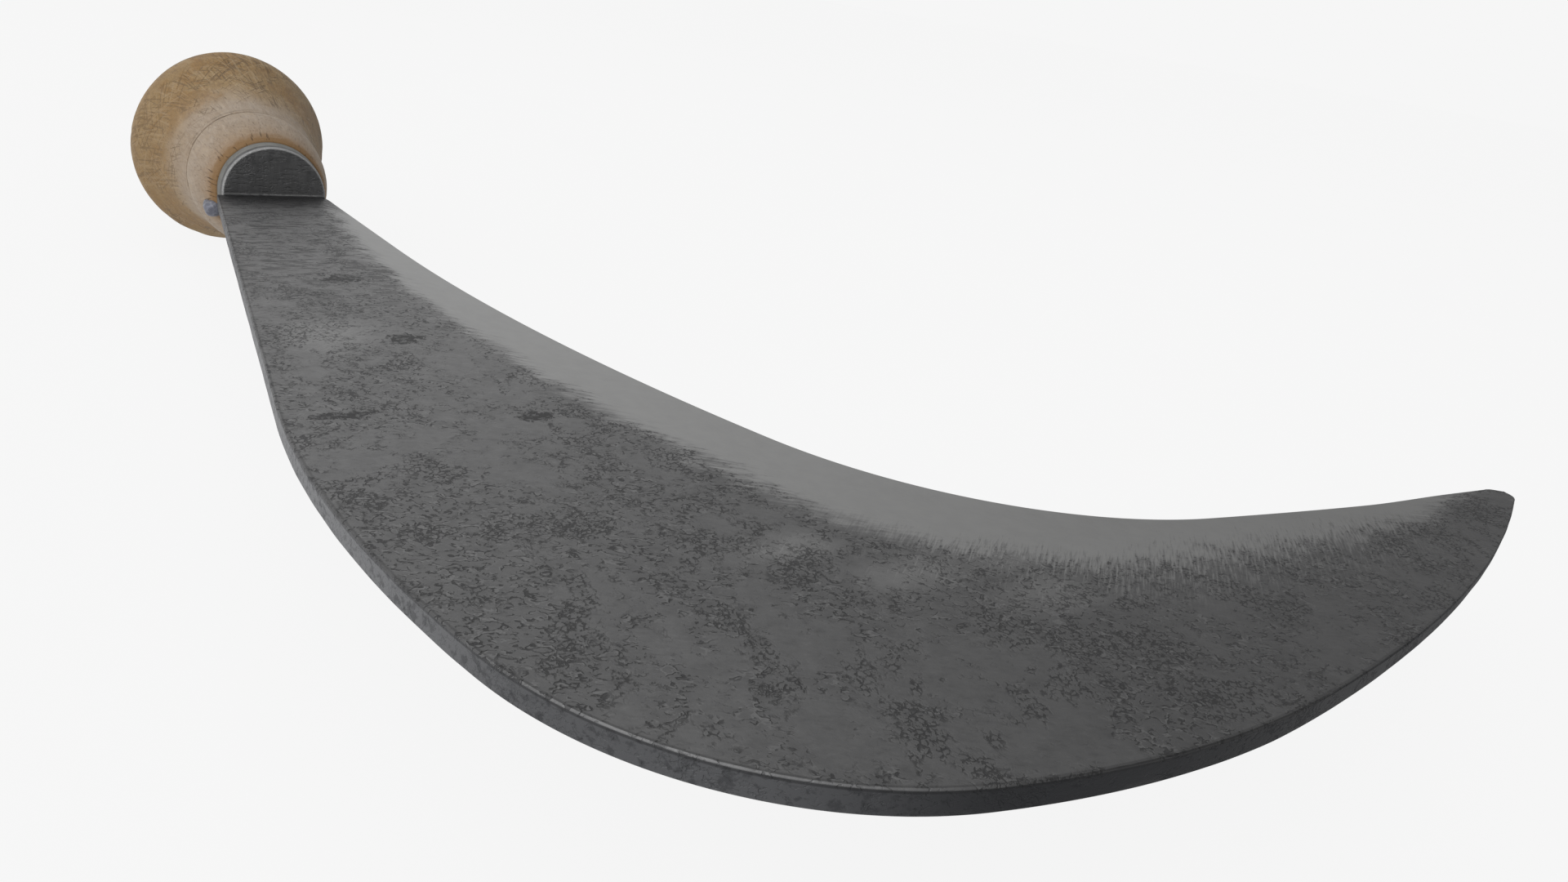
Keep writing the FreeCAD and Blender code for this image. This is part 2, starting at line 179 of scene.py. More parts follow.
def match_sides():
    """Stations along both sides of the plate, so that the rungs between them stand square to the
    edge except close to the root and the point."""
    run_s, run_e = lengths(spine_plan), lengths(edge_plan)
    u = np.linspace(0, run_e[-1], RUNGS)
    on_edge = at_length(edge_plan, u)
    ahead = at_length(edge_plan, u + 0.4) - at_length(edge_plan, u - 0.4)
    v = []
    for place, way in zip(on_edge, ahead):
        way = np.array([way[1], -way[0]]) / np.hypot(*way)
        hit = crossing(place, way, spine_plan)
        v.append(np.nan if hit is None else hit)
    v = np.array(v)
    v[np.isnan(v)] = run_s[-1]
    near_root, near_point = np.clip(1 - u / 40, 0, 1), np.clip(1 - (u[-1] - u) / 60, 0, 1)
    v = v * (1 - near_root ** 2) * (1 - near_point ** 2) + run_s[-1] * near_point ** 2
    v = np.maximum.accumulate(v)
    along = (u / u[-1] + v / run_s[-1]) / 2
    at = np.r_[np.linspace(0, NOSE_FROM, STATIONS - NOSE_STATIONS),
               np.linspace(NOSE_FROM, NOSE_END, NOSE_STATIONS + 1)[1:]]
    return (at_length(spine_plan, np.interp(at, along, v)),
            at_length(edge_plan, np.interp(at, along, u)))


# ---------------------------------------------------------------- mesh helpers

def to_object(name, verts, faces):
    mesh = bpy.data.meshes.new(name)
    mesh.from_pydata([tuple(v) for v in np.asarray(verts) * MM], [], faces)
    mesh.validate()
    piece = bpy.data.objects.new(name, mesh)
    bpy.context.scene.collection.objects.link(piece)
    return piece


def clean(piece, merge):
    """Merge doubled points, drop slivers and point all faces outwards."""
    bm = bmesh.new()
    bm.from_mesh(piece.data)
    bmesh.ops.remove_doubles(bm, verts=bm.verts, dist=merge)
    bmesh.ops.dissolve_degenerate(bm, edges=bm.edges, dist=merge / 2)
    bmesh.ops.recalc_face_normals(bm, faces=bm.faces)
    bm.to_mesh(piece.data)
    bm.free()


def solid(name, verts, faces, merge=2e-6):
    piece = to_object(name, verts, faces)
    clean(piece, merge)
    return piece


def combine(piece, other, operation):
    """Boolean of two closed meshes, applied; the second one is used up."""
    modifier = piece.modifiers.new("combine", "BOOLEAN")
    modifier.operation = operation
    modifier.solver = "EXACT"
    modifier.object = other
    graph = bpy.context.evaluated_depsgraph_get()
    result = bpy.data.meshes.new_from_object(piece.evaluated_get(graph))
    piece.modifiers.clear()
    piece.data = result
    bpy.data.objects.remove(other)


def smooth_shade(piece, angle):
    piece.data.shade_smooth()
    piece.data.set_sharp_from_angle(angle=math.radians(angle))


def ring_faces(pairs, around):
    """Faces between pairs of rings; a ring may be one point repeated."""
    faces = []
    for ring, following in pairs:
        for k in range(around):
            n = (k + 1) % around
            face = [ring[k], ring[n], following[n], following[k]]
            faces.append([v for i, v in enumerate(face) if v not in face[:i]])
    return [face for face in faces if len(face) > 2]


def lathe(name, profile, around, shape=None):
    """A closed profile of (station, radius) turned about the handle's axis. Points at radius 0
    become one point. shape(angle, station, radius) may return a changed radius."""
    verts, rings = [], []
    for station, radius in profile:
        if radius < 1e-9:
            rings.append([len(verts)] * around)
            verts.append((0, FRONT + station, 0))
            continue
        ring = []
        for k in range(around):
            angle = 2 * math.pi * k / around
            r = shape(angle, station, radius) if shape else radius
            ring.append(len(verts))
            verts.append((r * math.cos(angle), FRONT + station, r * math.sin(angle)))
        rings.append(ring)
    pairs = list(zip(rings, rings[1:]))
    if profile[0][1] > 1e-9 and profile[-1][1] > 1e-9:
        pairs.append((rings[-1], rings[0]))
    return solid(name, verts, ring_faces(pairs, around))


def square_bar(name, ends, room=0.0):
    """A tapered bar on the handle's axis between two (station, side) ends."""
    verts = []
    for station, side in ends:
        h = (side + room) / 2
        verts += [(-h, FRONT + station, -h), (h, FRONT + station, -h),
                  (h, FRONT + station, h), (-h, FRONT + station, h)]
    faces = [(0, 1, 2, 3), (7, 6, 5, 4), (0, 4, 5, 1), (1, 5, 6, 2), (2, 6, 7, 3), (3, 7, 4, 0)]
    return solid(name, verts, faces)


def arc_profile(start, end, radius, bulge, count):
    """Points from start to end of a profile arc, both included; bulge 1 swells it outwards."""
    start, end = np.array(start, float), np.array(end, float)
    half = (end - start) / 2
    reach = math.sqrt(radius ** 2 - half @ half)
    normal = np.array([-half[1], half[0]]) / np.hypot(*half)
    centre = start + half - bulge * normal * reach
    first = math.atan2(*(start - centre)[::-1])
    last = math.atan2(*(end - centre)[::-1])
    turns = np.linspace(first, last, count)
    return [tuple(centre + radius * np.array([math.cos(a), math.sin(a)])) for a in turns]


# ---------------------------------------------------------------- blade

FLAT_COLUMNS, GRIND_COLUMNS, WALL_ROWS = 44, 18, 4
# Step to another part of the noise, so that both faces of the plate differ.
UNDERSIDE = 310


def plate_drop(x):
    """How far the distal taper has closed each face in at x."""
    share = (x - TAPER_START) / (TAPER_END - TAPER_START)
    return np.clip(share, 0, None) * (PLATE - POINT_PLATE) / 2


def forged(x, y):
    """Unevenness of the forged faces, in mm."""
    broad = noise.noise(Vector((x / 34, y / 34, 3.1)))
    fine = noise.noise(Vector((x / 9, y / 9, 7.7)))
    return 0.075 * broad + 0.022 * fine


def make_plate():
    spine, edge = match_sides()
    rung = edge - spine
    width = np.hypot(*rung.T)
    grind = []
    for place, way, wide in zip(spine, rung / width[:, None], width):
        rel = grind_plan - place
        side = cross_2d(way, rel)
        hits = np.nonzero(side[:-1] * side[1:] <= 0)[0]
        along = (rel[hits] @ way) if len(hits) else np.array([wide])
        along = along[(along > 0) & (along <= wide)]
        grind.append(along.max() if len(along) else wide)
    grind = np.array(grind)
    grind = np.minimum(grind, width - np.minimum(1.2, width * 0.2))
    kernel = np.hanning(15) / np.hanning(15).sum()
    grind = np.convolve(np.pad(grind, 7, mode="edge"), kernel, mode="valid")
    ahead = rung / width[:, None]
    inset = np.minimum(CHAMFER, width * 0.2)
    # Round the point the edge grows to a share of the spine's thickness.
    nose = smooth(1.0 - np.hypot(*(edge - edge_plan[-1]).T) / (1.5 * POINT_ROUNDING))
    rows = []
    for k in range(STATIONS):
        flat_from, flat_to = inset[k], grind[k]
        flat = np.linspace(flat_from, flat_to, FLAT_COLUMNS + 1)
        # The columns gather towards the grind line, where the surface turns.
        ground = flat_to + (width[k] - flat_to) * np.linspace(0, 1, GRIND_COLUMNS + 1)[1:] ** 0.9
        offsets = np.r_[flat, ground]
        places = spine[k] + ahead[k] * offsets[:, None]
        half = HALF - plate_drop(places[:, 0])
        beyond, bevel = offsets - flat_to, width[k] - flat_to
        blend = min(0.7, bevel * 0.3)
        ramp = blend * np.log1p(np.exp(np.clip(beyond / blend, -30, 30))) / bevel
        ramp = np.clip(ramp / (blend * np.log1p(np.exp(bevel / blend)) / bevel), 0, 1)
        thin = EDGE_FLAT + (half[-1] - EDGE_FLAT) * NOSE_THICKNESS * nose[k]
        profile = half * (1 - ramp) + thin * ramp
        calm = (1 - ramp) * np.clip(offsets / 3.0, 0.25, 1) * np.clip(width[k] / 12, 0, 1)
        uneven = np.array([forged(px, py) for px, py in places])
        under = np.array([forged(px + UNDERSIDE, py) for px, py in places])
        upper = np.c_[places, -HALF + profile + (uneven - 0.05) * calm]
        lower = np.c_[places, -HALF - profile + (under + 0.05) * calm]
        wall_half = half[0] - inset[k]
        wall_z = np.linspace(wall_half, -wall_half, WALL_ROWS + 1)
        pitted = [0.05 * noise.noise(Vector((spine[k][0] / 6, spine[k][1] / 6, z / 3)))
                  for z in wall_z]
        wall = [np.r_[spine[k] + ahead[k] * (0.05 - p), -HALF + z] for p, z in zip(pitted, wall_z)]
        # One closed loop: up the near side of the plate from the edge, round the spine and back.
        rows.append(np.vstack([upper[::-1], wall, lower]))
    verts = np.vstack(rows)
    verts[:, 1] += FRONT
    count = len(rows[0])
    faces = []
    for k in range(STATIONS - 1):
        a, b = k * count, (k + 1) * count
        for i in range(count):
            n = (i + 1) % count
            faces.append((a + i, a + n, b + n, b + i))
    faces.append(tuple(range(count)))
    faces.append(tuple(range((STATIONS - 1) * count, STATIONS * count))[::-1])
    # The root runs a hair into the bolster, so that the two join.
    verts[:count, 1] += 0.03
    return solid("blade_forging", verts, faces, 1e-6)


# The hollow's radius, and its width on the upper and the lower face.
HOLLOW_RADIUS, HOLLOW_UPPER, HOLLOW_LOWER = 0.6, 21.4, 19.8
# (station, side) at both ends of the tang, and the same for the bore with its room.
TANG = (0.6, 7.6), (80.0, 3.6)
BORE, BORE_ROOM = ((0.4, 7.6), (80.15, 3.6)), 0.3


def make_hollow(side, width):
    """Concave strip where a face of the plate runs into the bolster; side 1 is the upper face."""
    level = 0 if side > 0 else -PLATE
    r = HOLLOW_RADIUS
    section = [(0.4, -0.5), (0.4, r)]
    section += [(-r + r * math.cos(a), r - r * math.sin(a) - 0.02)
                for a in np.linspace(0, math.pi / 2, 14)]
    section += [(-r, -0.5)]
    verts, count = [], len(section)
    for x in (-width / 2, width / 2):
        verts += [(x, FRONT + y, level + side * z) for y, z in section]
    faces = [tuple(range(count)), tuple(range(2 * count - 1, count - 1, -1))]
    faces += [(i, (i + 1) % count, count + (i + 1) % count, count + i) for i in range(count)]
    return solid("hollow", verts, faces)


def make_bolster():
    profile = [(0.0, 0.0), (0.0, 5.0), (0.0, 9.5), (0.0, 10.62)]
    profile += [(0.38 * (1 - math.cos(a)), 10.62 + 0.38 * math.sin(a))
                for a in np.linspace(0.2, 1.5, 6)]
    profile += [(1.2, 11.2), (1.36, 11.22), (BOLSTER_LENGTH, 11.1), (BOLSTER_LENGTH, 0.0)]
    return lathe("bolster", profile, 256)


PIN_STATION, PIN_TILT, PIN_RADIUS, PIN_DEPTH, PIN_REACH, PIN_DOME = 6.6, 19.5, 1.9, 7.0, 14.0, 0.9
HOLE_RADIUS, HOLE_LENGTH = PIN_RADIUS + 0.05, 22.5


def on_pin_axis(verts):
    """Move points laid out along +Z from the pin's blind end to the pin's place."""
    turn = Matrix.Rotation(math.radians(-(90 + PIN_TILT)), 3, "Y")
    tilt = math.radians(PIN_TILT)
    base = Vector((PIN_DEPTH * math.cos(tilt), FRONT + PIN_STATION, PIN_DEPTH * math.sin(tilt)))
    return [tuple(turn @ Vector(v) + base) for v in verts]


def pin_shape(name, profile, shape=None, around=64):
    """A profile of (radius, height along the pin), from one end of the axis to the other."""
    verts, rings = [], []
    for radius, height in profile:
        ring = []
        for k in range(around):
            angle = 2 * math.pi * k / around
            r, h = shape(angle, radius, height) if shape else (radius, height)
            ring.append(len(verts))
            verts.append((r * math.cos(angle), r * math.sin(angle), h))
            if radius < 1e-9:
                break
        rings.append(ring if len(ring) > 1 else ring * around)
    return solid(name, on_pin_axis(verts), ring_faces(zip(rings, rings[1:]), around))


def pin_hole():
    return pin_shape("hole", [(0, 0), (HOLE_RADIUS, 0), (HOLE_RADIUS, HOLE_LENGTH),
                              (0, HOLE_LENGTH)])


def make_blade():
    blade = make_plate()
    for part in (make_hollow(1, HOLLOW_UPPER), make_hollow(-1, HOLLOW_LOWER), make_bolster(),
                 square_bar("tang", TANG)):
        combine(blade, part, "UNION")
    combine(blade, pin_hole(), "DIFFERENCE")
    clean(blade, 5e-7)
    mark_blade(blade)
    return blade


# ---------------------------------------------------------------- handle, ferrule, pin

# (station, radius) along the turned outside, with the turned line's half width and depth.
NECK, BEAD_END, LINE_HALF, LINE_DEPTH = (3.45, 11.95), (19.6, 15.5), 0.45, 0.42
CREST_FROM, CREST_TO = (49.2, 22.85), (61.2, 22.85)
BUTT_FROM, BUTT_END = (106.0, 13.0), (113.0, 7.0)


def handle_profile():
    """Outside of the handle from the front of its tenon to the centre of its butt."""
    tenon = [(BOLSTER_LENGTH, 0.0), (BOLSTER_LENGTH, 9.6), (BOLSTER_LENGTH + 0.2, 9.9)]
    tenon += [(2.4, 9.9), (3.3, 9.9), (3.3, 10.8), (3.3, 11.6)]
    bead = arc_profile(NECK, (BEAD_END[0] - LINE_HALF, BEAD_END[1]), 24.0, 1, 70)
    line = [(BEAD_END[0] + LINE_HALF * t,
             BEAD_END[1] - LINE_DEPTH * math.cos(t * math.pi / 2) ** 1.3)
            for t in np.linspace(-0.85, 0.85, 11)]
    cove = arc_profile((BEAD_END[0] + LINE_HALF, BEAD_END[1]), CREST_FROM, 90.0, -1, 96)
    crest = arc_profile(CREST_FROM, CREST_TO, 14.5, 1, 44)[1:]
    grip = arc_profile(CREST_TO, BUTT_FROM, 104.0, -1, 90)[1:]
    butt = arc_profile(BUTT_FROM, BUTT_END, 8.0, 1, 26)[1:]
    end = [(BUTT_END[0], r) for r in (6.0, 4.5, 3.0, 1.5, 0.0)]
    return tenon + bead + line + cove + crest + grip + butt + end


OVAL, OVAL_SHRINK, OVAL_TURN = 0.042, 0.018, math.radians(-24.8)


def worn_wood(angle, station, radius):
    """Hand wear, grain lifting, the crest's slightly oval section and the neck's slight lean
    away from the edge: a changed radius."""
    if station < 3.4 or radius < 7.5 and station > 112:
        return radius
    share = np.interp(station, (22, 49, 61, 90, 113), (0, 1, 1, 0.4, 0))
    radius *= 1 - share * (OVAL_SHRINK + OVAL * math.cos(2 * (angle - OVAL_TURN)))
    squeeze = np.interp(station, (3.3, 7, 20, 45), (0.01, 0.04, 0.035, 0))
    radius *= 1 - squeeze * math.cos(angle) ** 2
    lean = np.interp(station, (3.3, 7, 20, 52, 113), (-0.12, -0.55, -0.7, -0.76, 0))
    radius += lean * math.cos(angle)
    around = Vector((math.cos(angle), math.sin(angle), 0))
    broad = noise.noise(around * 1.3 + Vector((0, 0, station / 26)))
    grain = noise.noise(around * 16 + Vector((0, 0, station / 30 + 5)))
    dent = noise.noise(around * 5 + Vector((0, 0, station / 7 + 11)))
    fade = min(1.0, (station - 3.3) / 6)
    return radius + fade * (0.10 * broad + 0.03 * grain - 0.25 * max(0.0, dent - 0.42))


def make_handle():
    handle = lathe("handle_wood", handle_profile(), 288, worn_wood)
    combine(handle, square_bar("bore", BORE, BORE_ROOM), "DIFFERENCE")
    combine(handle, pin_hole(), "DIFFERENCE")
    return handle


def make_ferrule():
    profile = [(1.45, 9.92), (1.4, 10.1), (1.4, 11.15), (1.47, 11.28), (1.7, 11.36), (2.3, 11.5),
               (3.05, 11.68), (3.24, 11.68), (3.3, 11.58), (3.3, 10.1), (3.25, 9.92), (2.3, 9.92)]

    def wear_and_highlight(angle, station, radius):
        if radius < 10.5:
            return radius
        around = Vector((math.cos(angle) * 3, math.sin(angle) * 3, station))
        squeezed = -0.2 * math.cos(angle) - 0.23 * math.cos(angle) ** 2
        return radius + squeezed + 0.03 * noise.noise(around)

    return lathe("ferrule_ring", profile, 256, wear_and_highlight)


HEAD_RADIUS, HEAD_STATION, HEAD_AXES = 12.75, 5.2, (2.6, 2.2, 1.9)


def make_pin_head():
    """The hammered end of the pin: a lopsided button spread towards the ferrule."""
    tilt = math.radians(PIN_TILT)
    outward = np.array([-math.cos(tilt), 0, -math.sin(tilt)])
    across = np.array([-math.sin(tilt), 0, math.cos(tilt)])
    centre = outward * HEAD_RADIUS + np.array([0, FRONT + HEAD_STATION, 0])
    bm = bmesh.new()
    bmesh.ops.create_icosphere(bm, subdivisions=4, radius=1.0)
    verts = []
    for vert in bm.verts:
        flat = vert.co * (1 + 0.07 * noise.noise(vert.co * 1.7))
        top = min(flat.z, 0.82 + 0.25 * (flat.z - 0.82))
        place = centre + outward * top * HEAD_AXES[0] + across * flat.x * HEAD_AXES[2]
        verts.append(place + np.array([0, flat.y * HEAD_AXES[1], 0]))
    faces = [[v.index for v in face.verts] for face in bm.faces]
    bm.free()
    return solid("pin_head", verts, faces)


def make_pin():
    shoulder = PIN_DEPTH + PIN_REACH
    dome_radius = (PIN_RADIUS ** 2 + PIN_DOME ** 2) / (2 * PIN_DOME)
    spread = math.asin(PIN_RADIUS / dome_radius)
    profile = [(0, 0), (PIN_RADIUS - 0.2, 0), (PIN_RADIUS, 0.2), (PIN_RADIUS, shoulder - 3),
               (PIN_RADIUS, shoulder - 0.1)]
    for turn in np.linspace(spread * 0.97, 0, 12):
        profile.append((dome_radius * math.sin(turn),
                        shoulder + PIN_DOME - dome_radius * (1 - math.cos(turn))))

    def peened(angle, radius, height):
        if height < shoulder - 1:
            return radius, height
        place = Vector((radius * math.cos(angle), radius * math.sin(angle), 2.0))
        return radius, height + 0.07 * noise.noise(place * 0.9) - 0.03

    pin = pin_shape("pin_peened", profile, peened)
    combine(pin, make_pin_head(), "UNION")
    return pin


# ---------------------------------------------------------------- nodes

class Shader:
    """Builds the nodes of one material, or of the world. Every input may be a number, a tuple or
    another node's output."""

    def __init__(self, name, world=None):
        self.owner = world or bpy.data.materials.new(name)
        self.owner.use_nodes = True
        self.tree = self.owner.node_tree
        self.tree.nodes.clear()
        self.out = self.node("OutputWorld" if world else "OutputMaterial")

    def put(self, socket, value):
        if isinstance(value, bpy.types.NodeSocket):
            self.tree.links.new(value, socket)
        elif value is not None:
            if hasattr(value, "__len__") and socket.type == "RGBA" and len(value) == 3:
                value = (*value, 1.0)
            socket.default_value = value

    def node(self, kind, inputs=None, **settings):
        made = self.tree.nodes.new("ShaderNode" + kind)
        for name, value in settings.items():
            setattr(made, name, value)
        for name, value in (inputs or {}).items():
            self.put(made.inputs[name], value)
        return made

    def maths(self, operation, a, b=None):
        return self.node("Math", {0: a, 1: b}, operation=operation).outputs[0]

    def step(self, value, low, high, to_low=0.0, to_high=1.0):
        """Smooth step of value from low to high; low may be above high."""
        if low > high:
            low, high, to_low, to_high = high, low, to_high, to_low
        made = self.node("MapRange", {"Value": value, "From Min": low, "From Max": high,
                                      "To Min": to_low, "To Max": to_high},
                         interpolation_type="SMOOTHSTEP")
        return made.outputs[0]

    def noise(self, vector, scale, detail=3.0, rough=0.5, distort=0.0, seed=0.0):
        made = self.node("TexNoise", {"Vector": vector, "Scale": scale, "Detail": detail,
                                      "Roughness": rough, "Distortion": distort, "W": seed},
                         noise_dimensions="4D")
        return made.outputs["Fac"]

    def cell_walls(self, vector, scale):
        """Distance to the nearest wall of a pattern of random cells."""
        made = self.node("TexVoronoi", {"Vector": vector, "Scale": scale},
                         feature="DISTANCE_TO_EDGE")
        return made.outputs["Distance"]

    def mapped(self, vector, scale=(1, 1, 1), turn=0.0):
        """A place scaled along the axes and then turned about Z, in degrees."""
        made = self.node("Mapping", {"Vector": vector, "Rotation": (0, 0, math.radians(turn)),
                                     "Scale": scale})
        return made.outputs[0]

    def laid(self, vector, heading, scale):
        """A place scaled along a heading in the XY plane, in degrees from +X, and square to it."""
        return self.mapped(self.mapped(vector, turn=-heading), scale)

    def mix(self, share, a, b):
        """Mix of two colours."""
        made = self.node("Mix", data_type="RGBA")
        self.put(made.inputs["Factor"], share)
        colours = [s for s in made.inputs if s.type == "RGBA"]
        self.put(colours[0], a)
        self.put(colours[1], b)
        return next(s for s in made.outputs if s.type == "RGBA")

    def blend(self, share, a, b):
        """Mix of two numbers."""
        made = self.node("Mix", data_type="FLOAT")
        self.put(made.inputs["Factor"], share)
        numbers = [s for s in made.inputs if s.type == "VALUE" and s.name in ("A", "B")]
        self.put(numbers[0], a)
        self.put(numbers[1], b)
        return made.outputs[0]

    def product(self, *values):
        return reduce(partial(self.maths, "MULTIPLY"), values)

    def total(self, *values):
        return reduce(partial(self.maths, "ADD"), values)

    def most(self, *values):
        return reduce(partial(self.maths, "MAXIMUM"), values)

    def swing(self, value, reach):
        """A value from 0 to 1 turned into one that swings by half of reach to either side of 0."""
        return self.product(self.maths("SUBTRACT", value, 0.5), reach)

    def length(self, x, y):
        return self.maths("SQRT", self.total(self.product(x, x), self.product(y, y)))

    def over(self, colour, layer, *shares):
        """A layer's colour laid over another one, by the product of its shares."""
        return self.mix(self.product(*shares), colour, layer)

    def warped(self, vector, scale, reach, seed):
        """A place moved about by noise, by up to about a quarter of reach."""
        made = self.node("TexNoise", {"Vector": vector, "Scale": scale, "Detail": 2.0, "W": seed},
                         noise_dimensions="4D")
        centred = self.node("VectorMath", {0: made.outputs["Color"], 1: (0.5, 0.5, 0.5)},
                            operation="SUBTRACT")
        moved = self.node("VectorMath", {0: centred.outputs[0], "Scale": reach}, operation="SCALE")
        return self.node("VectorMath", {0: vector, 1: moved.outputs[0]}, operation="ADD").outputs[0]

    def attribute(self, name):
        return self.node("Attribute", attribute_name=name).outputs["Fac"]

    def place(self):
        """Place in the object in millimetres."""
        coordinates = self.node("TexCoord").outputs["Object"]
        made = self.node("VectorMath", {0: coordinates, "Scale": 1 / MM}, operation="SCALE")
        return made.outputs[0]

    def parts(self, vector):
        return tuple(self.node("SeparateXYZ", {0: vector}).outputs)

    def joined(self, x, y, z):
        made = self.node("CombineXYZ", {0: x, 1: y, 2: z})
        return made.outputs[0]

    def finish(self, colour, roughness, metallic, height, distance, strength, **more):
        bump = self.node("Bump", {"Height": height, "Distance": distance, "Strength": strength})
        return self.show(self.node("BsdfPrincipled", {
            "Base Color": colour, "Roughness": roughness, "Metallic": metallic,
            "Normal": bump.outputs[0], **more}))

    def show(self, surface):
        self.tree.links.new(surface.outputs[0], self.out.inputs["Surface"])
        return self.owner

    def to_camera(self, seen, others):
        """One shader for what the camera sees directly, another for all other light."""
        ray = self.node("LightPath").outputs["Is Camera Ray"]
        return self.show(self.node("MixShader", {0: ray, 1: others.outputs[0], 2: seen.outputs[0]}))


def grey(level):
    """Linear value of a grey given as 0 to 255 on a screen."""
    value = level / 255
    return value / 12.92 if value <= 0.04045 else ((value + 0.055) / 1.055) ** 2.4


def store(piece, name, values):
    layer = piece.data.attributes.new(name, "FLOAT", "POINT")
    layer.data.foreach_set("value", np.asarray(values, np.float32))


NEAREST_STEP, NEAREST_BATCH = 0.3, 4000


def nearest(points, curve):
    """Distance from each point to the curve and the length along it, in mm."""
    run = lengths(curve)[-1]
    at = np.linspace(0, run, max(2, int(run / NEAREST_STEP)))
    dense = at_length(curve, at)
    away, where = [], []
    for first in range(0, len(points), NEAREST_BATCH):
        gap = ((points[first:first + NEAREST_BATCH, None, :] - dense[None]) ** 2).sum(2)
        away.append(np.sqrt(gap.min(1)))
        where.append(at[gap.argmin(1)])
    return np.concatenate(away), np.concatenate(where)


def mark_blade(blade):
    """Attributes for the steel's pattern: the length along the edge, the distance from the spine,
    how far a point lies inside the grind line, and whether it is on the plate."""
    co = np.empty(len(blade.data.vertices) * 3, np.float32)
    blade.data.vertices.foreach_get("co", co)
    co = co.reshape(-1, 3) / MM
    plan = co[:, :2] - np.array([0, FRONT])
    from_edge, along = nearest(plan, edge_plan)
    from_spine, _ = nearest(plan, spine_plan)
    from_grind, _ = nearest(plan, grind_plan)
    grind_to_edge, grind_along = nearest(grind_plan[::8], edge_plan)
    width_at = np.interp(along, grind_along, grind_to_edge)
    inside = np.where(from_edge < width_at, from_grind, -from_grind)
    off_plate = (plan[:, 1] > 0.02) | (np.abs(co[:, 2] + HALF) > HALF + 0.2)
    inside[off_plate] = -20
    store(blade, "along", along)
    store(blade, "from_spine", from_spine)
    store(blade, "grind", inside)
    store(blade, "plate", np.where(off_plate, 0.0, 1.0))


# Levels of the materials, as linear colours.
# The last of these three sets how much painted shade darkens the plate towards its tip.
STEEL_DARK, STEEL_LIGHT, STEEL_TIP_SHADE = (0.135, 0.135, 0.136), (0.194, 0.194, 0.194), 0.50
# The bevel's colour at the root and at the tip: the lighter root is painted light, the darker tip
# painted shade.
BEVEL_LIT_ROOT, BEVEL_SHADED_TIP = (0.295, 0.295, 0.292), (0.232, 0.232, 0.229)
# The spine wall's colour on the left and on the right: painted light and painted shade.
WALL_LIT_LEFT, WALL_SHADED_RIGHT = (0.170, 0.172, 0.179), (0.027, 0.028, 0.031)
BOLSTER_DARK, BOLSTER_LIGHT = (0.105, 0.105, 0.106), (0.132, 0.132, 0.133)
PALE_WOOD = (0.285, 0.230, 0.178), (0.352, 0.286, 0.222)
TAN_WOOD = (0.232, 0.152, 0.068), (0.305, 0.206, 0.098)
BROWN_WOOD = (0.200, 0.112, 0.036), (0.265, 0.155, 0.056)
STAIN = (0.195, 0.108, 0.040)
# How much painted shade greys the handle's right side.
WOOD_SHADE_GREY = 0.40

# (x, y from the bolster's front face, half width, half height), in mm.
FLAKES = ((-1, -65, 3.6, 2.4), (1, -99, 3.0, 2.4), (-16, -128, 4.4, 1.2), (10, -134, 2.8, 1.6))
SMEARS = ((25, -179, 8, 4), (37, -189, 9, 5), (50, -199, 9, 5), (51, -190, 8, 5), (-10, -96, 8, 10))
# Degrees from +X of the strokes round the bend, and of the scale and the grain.
STROKE_HEADING, SCALE_HEADING = 37.6, -30


def blob(s, x, y, centre, rough):
    """Ellipse in the plate's plane: below 1 inside it and above 1 outside, made uneven by rough."""
    from_x = s.maths("DIVIDE", s.maths("SUBTRACT", x, centre[0]), centre[2])
    from_y = s.maths("DIVIDE", s.maths("SUBTRACT", y, FRONT + centre[1]), centre[3])
    return s.total(s.length(from_x, from_y), rough)


